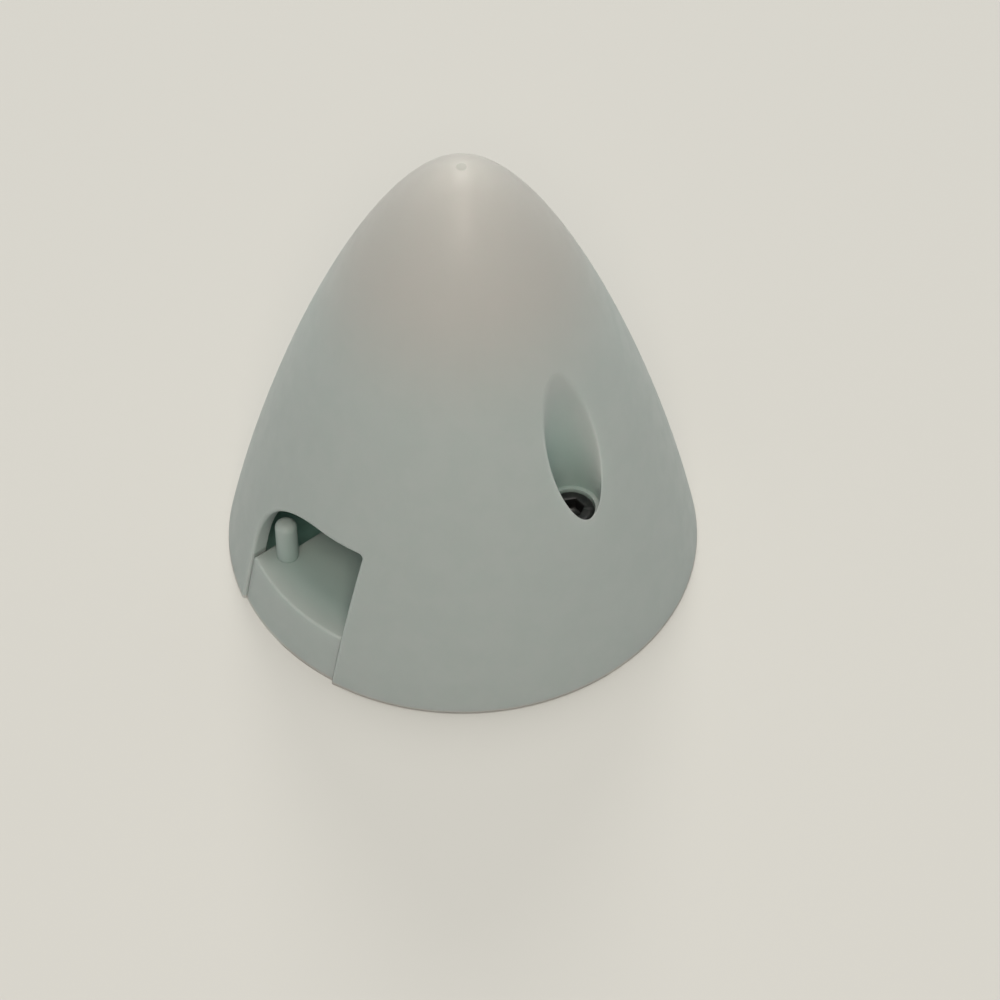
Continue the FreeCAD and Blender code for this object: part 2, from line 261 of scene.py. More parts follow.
class EffectGroup:
    """A shader node group that is built once and then placed in each material that needs it."""

    def __init__(self, name: str, takes: dict[str, float], gives: list[str]) -> None:
        """Make an empty group with number sockets.

        Args:
            name: name of the group.
            takes: input names and their usual values.
            gives: output names.
        """
        self.tree = bpy.data.node_groups.new(name, "ShaderNodeTree")
        for label, value in takes.items():
            self.new_socket(label, "INPUT").default_value = value
        for label in gives:
            self.new_socket(label, "OUTPUT")
        self.graph = Graph(self.tree)
        self.inputs = self.graph.add("NodeGroupInput").outputs
        self.outputs = self.graph.add("NodeGroupOutput").inputs
        self.coords = self.graph.add("ShaderNodeTexCoord").outputs["Object"]

    def new_socket(self, label: str, side: str) -> bpy.types.NodeTreeInterfaceSocket:
        """Add a number socket to the INPUT or OUTPUT side."""
        return self.tree.interface.new_socket(label, in_out=side, socket_type="NodeSocketFloat")

    def place(self, graph: Graph, **values: float) -> bpy.types.NodeOutputs:
        """Put the group into a material.

        Args:
            graph: the material's graph.
            values: inputs by name, with _ for a space.

        Returns:
            The placed group's outputs.
        """
        node = graph.add("ShaderNodeGroup", node_tree=self.tree)
        for label, value in values.items():
            node.inputs[label.replace("_", " ")].default_value = value
        return node.outputs


def moulded_skin(mottle_rate: float = 260.0, polish_rate: float = 310.0) -> EffectGroup:
    """Build the surface of a moulded plastic: fine cavity grain, slow sink waves and a light mottle.

    Args:
        mottle_rate: patches of tone for each metre.
        polish_rate: patches of gloss for each metre.

    Returns:
        The group, with Height, Mottle and Polish outputs.
    """
    group = EffectGroup(
        "Moulded skin",
        {"Grain size": 0.25, "Grain depth": 0.5, "Wave size": 12.0, "Wave depth": 1.0},
        ["Height", "Mottle", "Polish"],
    )
    g = group.graph
    per_metre = g.maths("DIVIDE", 1.0 / MM, group.inputs["Grain size"])
    wave_rate = g.maths("DIVIDE", 1.0 / MM, group.inputs["Wave size"])
    grain = g.noise(group.coords, per_metre)
    wave = g.noise(group.coords, wave_rate, 1.0, 0.4)
    fine = g.maths("MULTIPLY", g.maths("SUBTRACT", grain, 0.5), group.inputs["Grain depth"])
    slow = g.maths("MULTIPLY", g.maths("SUBTRACT", wave, 0.5), group.inputs["Wave depth"])
    g.join(g.maths("ADD", fine, slow), group.outputs["Height"])
    g.join(g.noise(group.coords, mottle_rate, 4.0), group.outputs["Mottle"])
    g.join(g.noise(group.coords, polish_rate), group.outputs["Polish"])
    return group


def handling_marks(line_rate: float = 170.0, patch_rate: float = 60.0) -> EffectGroup:
    """Build faint rubs: thin slanting lines, broken up in patches.

    Args:
        line_rate: lines for each metre, before they are stretched.
        patch_rate: patches for each metre.

    Returns:
        The group, with a Marks output between 0 and 1.
    """
    group = EffectGroup("Handling marks", {"Amount": 0.5}, ["Marks"])
    g = group.graph
    turned = g.add("ShaderNodeMapping")
    g.join(group.coords, turned.inputs["Vector"])
    turned.inputs["Rotation"].default_value = (0.7, 0.4, 1.1)
    turned.inputs["Scale"].default_value = (1.0, 14.0, 9.0)
    lines = g.noise(turned.outputs["Vector"], line_rate, 2.0, 0.5)
    patches = g.noise(group.coords, patch_rate, 2.0, 0.5)
    thin = g.band(lines, 0.69, 0.74)
    where = g.band(patches, 0.50, 0.62)
    g.join(g.maths("MULTIPLY", g.maths("MULTIPLY", thin, where), group.inputs["Amount"]),
           group.outputs["Marks"])
    return group


def recess_depth(ogive: "Ogive", steps: int = 12) -> EffectGroup:
    """Build the measures of where a point lies inside the cone.

    Args:
        ogive: outline of the cone.
        steps: number of parts that the outline is drawn in.

    Returns:
        The group, with the depth below the outer surface, the height and the radius in millimetres.
    """
    group = EffectGroup("Recess depth", {}, ["Depth", "Level", "Across"])
    g = group.graph
    split = g.add("ShaderNodeSeparateXYZ")
    g.join(group.coords, split.inputs[0])
    across = g.maths("SQRT", g.maths("ADD", g.maths("MULTIPLY", split.outputs[0], split.outputs[0]),
                                     g.maths("MULTIPLY", split.outputs[1], split.outputs[1])))
    curve = g.add("ShaderNodeFloatCurve")
    height_share = g.maths("DIVIDE", split.outputs[2], ogive.height * MM)
    g.join(height_share, curve.inputs["Value"])
    line = curve.mapping.curves[0]
    for step in range(steps + 1):
        share = step / steps
        reach = ogive.radius_at(share * ogive.height) / ogive.base
        if step == 0:
            line.points[0].location = (share, reach)
        elif step == steps:
            line.points[-1].location = (share, reach)
        else:
            line.points.new(share, reach)
    curve.mapping.update()
    outside = g.maths("MULTIPLY", curve.outputs["Value"], ogive.base)
    inside = g.maths("DIVIDE", across, MM)
    g.join(g.maths("SUBTRACT", outside, inside), group.outputs["Depth"])
    g.join(g.maths("DIVIDE", split.outputs[2], MM), group.outputs["Level"])
    g.join(inside, group.outputs["Across"])
    return group


# ---------------------------------------------------------------------------------------------------
# Shape helpers
# ---------------------------------------------------------------------------------------------------


@dataclass(frozen=True)
class Ogive:
    """Outline of the cone: a cubic curve from the base edge to the tip, in millimetres."""

    base: float = 31.75
    height: float = 66.2
    draw: float = 6.31
    rise: float = 28.83
    nose: float = 10.42
    samples: int = 241
    batch: int = 20000
    searches: int = 3

    def at(self, t: np.ndarray) -> tuple[np.ndarray, np.ndarray, np.ndarray]:
        """Evaluate the curve.

        Args:
            t: parameters from 0 at the base to 1 at the tip.

        Returns:
            The points (radius, height), the slopes and the changes of slope there.
        """
        poles = np.array([(self.base, 0.0), (self.base - self.draw, self.rise),
                          (self.nose, self.height), (0.0, self.height)])
        legs = 3 * np.diff(poles, axis=0)
        bends = 2 * np.diff(legs, axis=0)
        t = t[:, None]
        s = 1.0 - t
        point = s**3 * poles[0] + 3 * s * s * t * poles[1] + 3 * s * t * t * poles[2] + t**3 * poles[3]
        slope = s * s * legs[0] + 2 * s * t * legs[1] + t * t * legs[2]
        return point, slope, s * bends[0] + t * bends[1]

    def radius_at(self, level: float) -> float:
        """Return the cone's radius at a height."""
        line = self.at(np.linspace(0.0, 1.0, self.samples))[0]
        return float(np.interp(level, line[:, 1], line[:, 0]))

    def distance(self, spots: np.ndarray) -> tuple[np.ndarray, np.ndarray]:
        """Measure points against the surface.

        Args:
            spots: points (x, y, z) in millimetres.

        Returns:
            Distance of each point outside the surface, negative inside, and the outward normals.
        """
        line = self.at(np.linspace(0.0, 1.0, self.samples))[0]
        across = np.hypot(spots[:, 0], spots[:, 1])
        flat = np.stack([across, spots[:, 2]], axis=1)
        t = np.empty(len(flat))
        for start in range(0, len(flat), self.batch):
            part = flat[start:start + self.batch]
            gap = (part ** 2).sum(axis=1)[:, None] - 2 * part @ line.T + (line ** 2).sum(axis=1)
            t[start:start + self.batch] = gap.argmin(axis=1) / (self.samples - 1)
        for _ in range(self.searches):
            foot, slope, bend = self.at(t)
            miss = foot - flat
            steepness = np.maximum((slope ** 2).sum(axis=1) + (miss * bend).sum(axis=1), 1.0)
            t = np.clip(t - (miss * slope).sum(axis=1) / steepness, 0.0, 1.0)
        foot, slope, _ = self.at(t)
        normal = np.stack([slope[:, 1], -slope[:, 0]], axis=1)
        normal /= np.linalg.norm(normal, axis=1, keepdims=True)
        beyond = ((flat - foot) * normal).sum(axis=1)
        safe = np.maximum(across, TINY)
        way = np.stack([normal[:, 0] * spots[:, 0] / safe, normal[:, 0] * spots[:, 1] / safe,
                        normal[:, 1]], axis=1)
        return beyond, way


@dataclass(frozen=True)
class Ring:
    """One level of a lofted shape: its height, and its radius as a function of angle and height."""

    level: float
    radius: RadiusAt


def round_ring(level: float, radius: float) -> Ring:
    """Return a plain circular level."""
    return Ring(level, lambda angle, height: radius)


def loft(rings: list[Ring], corners: int, centre: Vector) -> bmesh.types.BMesh:
    """Raise a closed form through a row of levels, each extruded from the last.

    Args:
        rings: the levels, from the first end to the last.
        corners: vertices on each level.
        centre: axis of the form, in millimetres.

    Returns:
        The form in millimetres, capped at both ends.
    """
    bm = bmesh.new()
    made = bmesh.ops.create_circle(bm, segments=corners, radius=1.0, cap_ends=True)
    rim = made["verts"]
    angles = [math.atan2(vert.co.y, vert.co.x) for vert in rim]

    def settle(verts: list[bmesh.types.BMVert], ring: Ring) -> None:
        """Put the vertices on the level."""
        for vert, angle in zip(verts, angles):
            reach = ring.radius(angle, ring.level)
            vert.co = centre + Vector((reach * math.cos(angle), reach * math.sin(angle), ring.level))

    settle(rim, rings[0])
    edges = bm.edges[:]
    for ring in rings[1:]:
        grown = bmesh.ops.extrude_edge_only(bm, edges=edges)["geom"]
        fresh = [item for item in grown if isinstance(item, bmesh.types.BMVert)]
        partner = {}
        for vert in fresh:
            for edge in vert.link_edges:
                other = edge.other_vert(vert)
                if other not in fresh:
                    partner[other] = vert
        rim = [partner[vert] for vert in rim]
        settle(rim, ring)
        edges = [item for item in grown if isinstance(item, bmesh.types.BMEdge)
                 and item.verts[0] in fresh and item.verts[1] in fresh]
    bmesh.ops.contextual_create(bm, geom=edges)
    return bm


def piece_from(bm: bmesh.types.BMesh, name: str, material: bpy.types.Material,
               sharp_over: float, closed: bool = True) -> bpy.types.Object:
    """Turn a finished bmesh in millimetres into a shaded piece that rides on the root body.

    Args:
        bm: the shape, which is freed.
        name: name of the piece.
        material: its finish.
        sharp_over: edges folded more than this, in degrees, stay sharp.
        closed: merge doubles and turn the faces outwards.

    Returns:
        The new object.
    """
    if closed:
        bmesh.ops.remove_doubles(bm, verts=bm.verts, dist=WELD)
        bmesh.ops.recalc_face_normals(bm, faces=bm.faces)
    bmesh.ops.scale(bm, vec=(MM, MM, MM), verts=bm.verts)
    for face in bm.faces:
        face.smooth = True
    for edge in bm.edges:
        if len(edge.link_faces) == 2:
            edge.smooth = edge.calc_face_angle(0.0) < math.radians(sharp_over)
    mesh = bpy.data.meshes.new(name)
    bm.to_mesh(mesh)
    bm.free()
    mesh.materials.append(material)
    piece = bpy.data.objects.new(name, mesh)
    bpy.context.scene.collection.objects.link(piece)
    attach(piece, Body.ROOT.value)
    LOG.info("%s: %d faces", name, len(mesh.polygons))
    return piece


def axis_of(node: str) -> Vector:
    """Return where the upright middle line of a CAD node stands, in millimetres."""
    low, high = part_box(node)
    return Vector(((low.x + high.x) / 2, (low.y + high.y) / 2, 0.0)) / MM


def merged_copy(node: str) -> bmesh.types.BMesh:
    """Copy a CAD node in millimetres with its loose triangles joined.

    Args:
        node: name of the node.

    Returns:
        The copy, with the node's own corner normals kept in the layer "kept".
    """
    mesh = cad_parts[node].data
    normals = np.array([item.vector for item in mesh.corner_normals], float)
    bm = bmesh.new()
    bm.from_mesh(mesh)
    kept = bm.loops.layers.float_vector.new("kept")
    for face in bm.faces:
        source = mesh.polygons[face.index]
        for loop, corner in zip(face.loops, source.loop_indices):
            loop[kept] = Vector(normals[corner])
    bmesh.ops.remove_doubles(bm, verts=bm.verts, dist=1e-6)
    bmesh.ops.scale(bm, vec=(1 / MM, 1 / MM, 1 / MM), verts=bm.verts)
    return bm


# ---------------------------------------------------------------------------------------------------
# Finishes
# ---------------------------------------------------------------------------------------------------


@dataclass(frozen=True)
class Nylon:
    """Semi-translucent white moulding: milky and satin. Its colour carries painted light and shade: a
    painted warm reflection on the crown, painted shade on the seat floor, darker and cooler painted
    shade in the recesses and the hollow, and a painted pale light along the base edge.

    The spans of level and depth, in millimetres, say where one colour takes over from another.
    """

    skin: EffectGroup
    marks: EffectGroup
    recess: EffectGroup
    tone: Colour = (0.502, 0.542, 0.528)
    shade: Colour = (0.488, 0.533, 0.517)
    # painted reflection: a warm tint on the upper nose standing in for the lamps' warm highlight
    crown: Colour = (0.522, 0.508, 0.484)
    # painted shade: the seat floor seen through the slots, painted darker
    seat_painted_shade: Colour = (0.370, 0.408, 0.390)
    # painted shade: recesses painted darker and cooler with depth below the skin
    deep: Colour = (0.435, 0.545, 0.512)
    # painted shade: the hollow below the seat level, painted dark
    dark: Colour = (0.260, 0.480, 0.420)
    # painted light: the base edge painted paler, for light glowing through the thin edge
    rim: Colour = (0.620, 0.600, 0.550)
    gate: Colour = (0.360, 0.370, 0.340)
    mottle_rise: Span = (0.36, 0.64)
    crown_rise: Span = (38.0, 56.0)
    seat_rise: Span = (6.8, 7.1)
    seat_fall: Span = (7.3, 7.8)
    seat_near: Span = (0.15, 0.9)
    seat_far: Span = (2.5, 7.5)
    deep_depth: Span = (0.20, 5.5)
    deep_rise: Span = (0.5, 6.5)
    dark_rise: Span = (1.0, 2.6)
    dark_fall: Span = (6.0, 6.9)
    dark_depth: Span = (3.0, 5.0)
    rim_level: Span = (0.62, 0.18)
    rim_depth: Span = (0.9, 0.4)
    gate_edge: Span = (0.75, 0.55)
    gate_rise: Span = (64.0, 65.0)
    gate_share: float = 0.55
    roughness: Span = (0.38, 0.50)
    haze: float = 0.55
    haze_reach: float = 2.2

    def colour(self, g: Graph, mottle: bpy.types.NodeSocket, where: bpy.types.NodeOutputs,
               ring: bpy.types.NodeSocket) -> bpy.types.NodeSocket:
        """Colour the moulding by where each point lies in the spinner.

        Args:
            g: the material's graph.
            mottle: slow variation of the tone.
            where: outputs of the recess group.
            ring: mask of the gate mark.

        Returns:
            The colour.
        """
        depth, level = where["Depth"], where["Level"]
        body = g.blend(g.band(mottle, *self.mottle_rise), rgba(self.shade), rgba(self.tone))
        # painted reflection: the upper nose tinted warm by height, for the lamps' warm highlight
        body = g.blend(g.band(level, *self.crown_rise), body, rgba(self.crown))
        # painted shade: the seat floor in the slots painted darker by height and depth
        seat = g.maths("MULTIPLY", g.window(level, self.seat_rise, self.seat_fall),
                       g.window(depth, self.seat_near, self.seat_far))
        body = g.blend(seat, body, rgba(self.seat_painted_shade))
        # painted shade: darker, cooler colour the deeper a point lies inside the cone
        recess_shade_mask = g.maths("MULTIPLY", g.band(depth, *self.deep_depth), g.band(level, *self.deep_rise))
        body = g.blend(recess_shade_mask, body, rgba(self.deep))
        # painted shade: the hollow below the seat level painted dark
        hollow_shade_mask = g.maths("MULTIPLY", g.window(level, self.dark_rise, self.dark_fall),
                         g.band(depth, *self.dark_depth))
        body = g.blend(hollow_shade_mask, body, rgba(self.dark))
        # painted light: a paler band along the base edge, for light glowing through it
        thin = g.maths("MULTIPLY", g.band(level, *self.rim_level), g.band(depth, *self.rim_depth))
        body = g.blend(thin, body, rgba(self.rim))
        return g.blend(g.maths("MULTIPLY", ring, self.gate_share), body, rgba(self.gate))

    def material(self) -> bpy.types.Material:
        """Build the material.

        Returns:
            The finished material.
        """
        made, g = new_material("White nylon")
        skin = self.skin.place(g, Grain_size=0.32, Grain_depth=0.35, Wave_size=14.0, Wave_depth=1.6)
        marks = self.marks.place(g, Amount=0.8)["Marks"]
        where = self.recess.place(g)
        ring = g.maths("MULTIPLY", g.band(where["Across"], *self.gate_edge),
                       g.band(where["Level"], *self.gate_rise))
        polish = g.band(skin["Polish"], 0.3, 0.7, *self.roughness)
        height = g.maths("ADD", g.maths("ADD", skin["Height"], g.maths("MULTIPLY", ring, -1.5)),
                         g.maths("MULTIPLY", marks, -0.25))
        finish_surface(g, self.colour(g, skin["Mottle"], where, ring),
                       g.maths("ADD", polish, g.maths("MULTIPLY", marks, 0.12)), height, 0.55, 0.05,
                       IOR=1.53, Specular_IOR_Level=0.28, Subsurface_Weight=self.haze,
                       Subsurface_Radius=(0.9, 1.1, 1.0), Subsurface_Scale=self.haze_reach * MM)
        return made


@dataclass(frozen=True)
class BlackOxide:
    """Blackened alloy steel with a thin oil film, a little brighter where threads and knurl rub."""

    marks: EffectGroup
    base: Colour = (0.028, 0.029, 0.031)
    clouded: Colour = (0.045, 0.044, 0.043)
    worn: Colour = (0.085, 0.085, 0.088)
    roughness: Span = (0.30, 0.46)
    cloud_rate: float = 900.0
    polish_rate: float = 1500.0
    grain_rate: float = 6500.0

    def material(self) -> bpy.types.Material:
        """Build the material.

        Returns:
            The finished material.
        """
        made, g = new_material("Black oxide steel")
        coords = g.add("ShaderNodeTexCoord").outputs["Object"]
        marks = self.marks.place(g, Amount=0.9)["Marks"]
        cloud = g.band(g.noise(coords, self.cloud_rate), 0.38, 0.68)
        crest = g.band(g.add("ShaderNodeNewGeometry").outputs["Pointiness"], 0.51, 0.58)
        rubbed = g.maths("MAXIMUM", g.maths("MULTIPLY", crest, 0.7), g.maths("MULTIPLY", marks, 0.6))
        colour = g.blend(rubbed, g.blend(cloud, rgba(self.base), rgba(self.clouded)), rgba(self.worn))
        rough = g.band(g.noise(coords, self.polish_rate), 0.3, 0.7, *self.roughness)
        finish_surface(g, colour, rough, g.noise(coords, self.grain_rate), 0.35, 0.02,
                       Metallic=0.75, Coat_Weight=0.25, Coat_Roughness=0.2)
        return made


@dataclass(frozen=True)
class DarkNylon:
    """Black moulding, satin, with pale dust in its grain."""

    skin: EffectGroup
    marks: EffectGroup
    base: Colour = (0.020, 0.020, 0.022)
    dust: Colour = (0.060, 0.060, 0.058)
    roughness: Span = (0.34, 0.50)

    def material(self) -> bpy.types.Material:
        """Build the material.

        Returns:
            The finished material.
        """
        made, g = new_material("Black nylon")
        skin = self.skin.place(g, Grain_size=0.18, Grain_depth=0.6, Wave_size=5.0, Wave_depth=0.6)
        marks = self.marks.place(g, Amount=0.7)["Marks"]
        dusty = g.band(skin["Mottle"], 0.52, 0.74)
        colour = g.blend(g.maths("MAXIMUM", g.maths("MULTIPLY", dusty, 0.5), marks),
                         rgba(self.base), rgba(self.dust))
        finish_surface(g, colour, g.band(skin["Polish"], 0.3, 0.7, *self.roughness), skin["Height"],
                       0.5, 0.03, IOR=1.53)
        return made


# ---------------------------------------------------------------------------------------------------
# Sub-assemblies
# ---------------------------------------------------------------------------------------------------


@dataclass
class NoseCone:
    """The moulded shell. Its screw wells get rounded lips and its base edge a small round.

    All lengths are in millimetres.
    """

    finish: bpy.types.Material
    ogive: Ogive
    well_centres: list[Vector]
    well_radius: float = 3.6
    well_foot: float = 23.5
    lip_low: float = 0.16
    lip_high: float = 0.55
    lip_turn: Span = (-0.2, 0.95)
    lip_reach: float = 3.0
    zone: float = 0.9
    zone_slack: float = 0.2
    finest: float = 0.16
    length_slack: float = 1.3
    passes: int = 16
    projections: int = 6
    flattest: float = 0.05
    base_round: float = 0.3
    base_steps: int = 5
    base_turn: float = 0.3
    slot_start: float = 20.0
    slot_fade: Span = (9.6, 11.6)
    near_skin: float = 0.02
    on_skin: float = 0.012
    skin_facing: float = 0.3

    def fields(self, spots: np.ndarray) -> tuple[np.ndarray, np.ndarray]:
        """Measure points against the outer skin with the rounded lips of its wells.

        Args:
            spots: points in millimetres.

        Returns:
            Value of the skin's field at each point, and its gradient.
        """
        outer, outer_way = self.ogive.distance(spots)
        value, way = outer, outer_way
        for centre in self.well_centres:
            away = spots[:, :2] - np.array(centre[:2])
            gap = np.hypot(away[:, 0], away[:, 1])
            wall = self.well_radius - gap
            wall_way = np.zeros_like(spots)
            wall_way[:, :2] = -away / np.maximum(gap, TINY)[:, None]
            outward = math.copysign(1.0, centre.y)
            facing = away[:, 1] * outward / np.maximum(gap, TINY)
            size = self.lip_high + (self.lip_low - self.lip_high) * smoothstep(*self.lip_turn, facing)
            near = gap < self.well_radius + self.lip_reach
            value, way = self.rounded(value, way, wall, wall_way, size, near)
        return value, way

    @staticmethod
    def rounded(first: np.ndarray, first_way: np.ndarray, second: np.ndarray, second_way: np.ndarray,
                size: np.ndarray, near: np.ndarray) -> tuple[np.ndarray, np.ndarray]:
        """Join two fields so that the edge between them is an arc.

        Args:
            first: value of one field.
            first_way: its gradient.
            second: value of the other.
            second_way: its gradient.
            size: radius of the arc.
            near: where the second field counts.

        Returns:
            Value and gradient of the joined field.
        """
        reach_a = first + size
        reach_b = second + size
        length = np.hypot(np.maximum(reach_a, 0), np.maximum(reach_b, 0))
        arc = near & (reach_a > 0) & (reach_b > 0)
        value = np.where(near, np.maximum(first, second), first)
        use_second = near & (second > first)
        way = np.where(use_second[:, None], second_way, first_way)
        safe = np.maximum(length, TINY)
        arc_way = (reach_a[:, None] * first_way + reach_b[:, None] * second_way) / safe[:, None]
        return np.where(arc, length - size, value), np.where(arc[:, None], arc_way, way)

    def in_zone(self, spots: np.ndarray) -> np.ndarray:
        """Tell which points lie near a lip.

        Args:
            spots: points in millimetres.

        Returns:
            True for each point that does.
        """
        outer, _ = self.ogive.distance(spots)
        ringed = np.zeros(len(spots), bool)
        for centre in self.well_centres:
            gap = np.hypot(spots[:, 0] - centre.x, spots[:, 1] - centre.y) - self.well_radius
            ringed |= np.abs(gap) < self.zone
        return ringed & (np.abs(outer) < self.zone) & (spots[:, 2] > self.well_foot)

    def refine(self, bm: bmesh.types.BMesh) -> None:
        """Halve the long edges near the lips, one to a face at a time, the longest first.

        Args:
            bm: the shell in millimetres.
        """
        for _ in range(self.passes):
            bm.edges.ensure_lookup_table()
            middles = np.array([(e.verts[0].co + e.verts[1].co) / 2 for e in bm.edges], float)
            lengths = np.array([e.calc_length() for e in bm.edges])
            close = np.abs(self.ogive_gap(middles)) < self.zone + self.zone_slack
            close[close] = self.in_zone(middles[close])
            long = np.flatnonzero(close & (lengths > self.finest * self.length_slack))
            taken, chosen = set(), []
            for index in long[np.argsort(-lengths[long], kind="stable")]:
                edge = bm.edges[index]
                if taken.isdisjoint(edge.link_faces):
                    taken.update(edge.link_faces)
                    chosen.append(edge)
            if not chosen:
                break
            bmesh.ops.subdivide_edges(bm, edges=chosen, cuts=1, use_single_edge=True)

    def level_base(self, bm: bmesh.types.BMesh) -> None:
        """Cut the skin at a few low levels, from which the round of the base edge is made.

        Args:
            bm: the shell in millimetres.
        """
        for step in range(1, self.base_steps + 1):
            level = self.base_round * step / self.base_steps
            bmesh.ops.bisect_plane(bm, geom=bm.verts[:] + bm.edges[:] + bm.faces[:], dist=1e-5,
                                   plane_co=(0, 0, level), plane_no=(0, 0, 1),
                                   clear_inner=False, clear_outer=False)
        many = [face for face in bm.faces if len(face.verts) > 3]
        bmesh.ops.triangulate(bm, faces=many, quad_method="SHORT_EDGE", ngon_method="BEAUTY")

    def round_base(self, spots: np.ndarray, way: np.ndarray) -> np.ndarray:
        """Move the skin's lowest levels onto the round of the base edge, fading at the slots.

        Args:
            spots: points in millimetres, changed in place.
            way: their normals, changed in place.

        Returns:
            Which points were moved.
        """
        beyond = np.abs(self.ogive_gap(spots))
        low = (beyond < self.near_skin) & (spots[:, 2] < self.base_round - WELD)
        beside = smoothstep(*self.slot_fade, np.abs(spots[:, 1]))
        fade = np.where(np.abs(spots[:, 0]) > self.slot_start, beside, 1.0)
        low &= fade > 0
        across = np.hypot(spots[:, 0], spots[:, 1])
        turn = (1.0 - np.clip(spots[:, 2] / self.base_round, 0.0, 1.0)) * math.pi / 2
        inward = fade * self.base_round * (1.0 - np.cos(turn))
        lowered = self.base_round * (1.0 - np.sin(turn)) - spots[:, 2]
        flat = spots[:, :2] / np.maximum(across, TINY)[:, None]
        spots[low, :2] -= (flat * inward[:, None])[low]
        spots[low, 2] += (fade * lowered)[low]
        tilt = np.stack([flat[:, 0] * np.cos(turn), flat[:, 1] * np.cos(turn), -np.sin(turn)], axis=1)
        way[low] += (tilt - way)[low] * (fade * np.minimum(1.0, turn / self.base_turn))[low, None]
        return low

    def ogive_gap(self, spots: np.ndarray) -> np.ndarray:
        """Estimate quickly how far each point is from the cone's surface.

        Args:
            spots: points in millimetres.

        Returns:
            The distances, negative inside.
        """
        line = self.ogive.at(np.linspace(0.0, 1.0, self.ogive.samples))[0]
        reach = np.interp(spots[:, 2], line[:, 1], line[:, 0])
        return np.hypot(spots[:, 0], spots[:, 1]) - reach

    def round_lips(self, bm: bmesh.types.BMesh) -> None:
        """Move the points near each lip onto its arc.

        Args:
            bm: the shell in millimetres.
        """
        bm.verts.ensure_lookup_table()
        spots = np.array([v.co for v in bm.verts], float)
        value, _ = self.fields(spots)
        where = np.flatnonzero(self.in_zone(spots) & (value > -self.near_skin))
        for _ in range(self.projections):
            value, way = self.fields(spots[where])
            square = (way ** 2).sum(axis=1)
            spots[where] -= way * (value / np.maximum(square, self.flattest))[:, None]
        for index in where:
            bm.verts[index].co = Vector(spots[index])

    def build(self) -> bpy.types.Object:
        """Round the lips, settle the skin and dress it.

        Returns:
            The finished shell.
        """
        bm = merged_copy("nose_cone")
        self.level_base(bm)
        self.refine(bm)
        self.round_lips(bm)
        bm.verts.ensure_lookup_table()
        bm.verts.index_update()
        spots = np.array([v.co for v in bm.verts], float)
        value, way = self.fields(spots)
        way /= np.linalg.norm(way, axis=1, keepdims=True)
        outer = np.abs(value) < self.on_skin
        for index in np.flatnonzero(self.round_base(spots, way)):
            bm.verts[index].co = Vector(spots[index])
        for face in bm.faces:
            face.normal_update()
        kept = bm.loops.layers.float_vector["kept"]
        for face in bm.faces:
            if all(outer[v.index] and face.normal.dot(Vector(way[v.index])) > self.skin_facing
                   for v in face.verts):
                for loop in face.loops:
                    loop[kept] = Vector(way[loop.vert.index])
        normals = [tuple(Vector(loop[kept]).normalized()) for face in bm.faces for loop in face.loops]
        piece = piece_from(bm, "nose_cone_shell", self.finish, sharp_over=180.0,
                           closed=False)
        piece.data.normals_split_custom_set(normals)
        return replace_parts(piece, "nose_cone")


@dataclass
class Backplate:
    """The moulded plate, its sharp corners eased by a small round as the tool leaves them."""

    finish: bpy.types.Material
    flat_within: float = 0.3
    fold: float = 32.0
    ease: float = 0.16
    rounds: int = 3

    def build(self) -> bpy.types.Object:
        """Ease the corners and dress the plate.

        Returns:
            The finished plate.
        """
        bm = merged_copy("backplate")
        bm.loops.layers.float_vector.remove(bm.loops.layers.float_vector["kept"])
        bmesh.ops.dissolve_limit(bm, angle_limit=math.radians(self.flat_within), verts=bm.verts,
                                edges=bm.edges)
        folded = [edge for edge in bm.edges
                  if edge.is_manifold and edge.calc_face_angle(0.0) > math.radians(self.fold)]
        bmesh.ops.bevel(bm, geom=folded, affect="EDGES", offset=self.ease, offset_type="OFFSET",
                        segments=self.rounds, profile=0.5, material=-1, clamp_overlap=True,
                        loop_slide=True)
        piece = piece_from(bm, "backplate_moulding", self.finish, sharp_over=60.0,
                           closed=False)
        shading = piece.modifiers.new("Flat faces lead", "WEIGHTED_NORMAL")
        shading.keep_sharp = True
        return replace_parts(piece, "backplate")


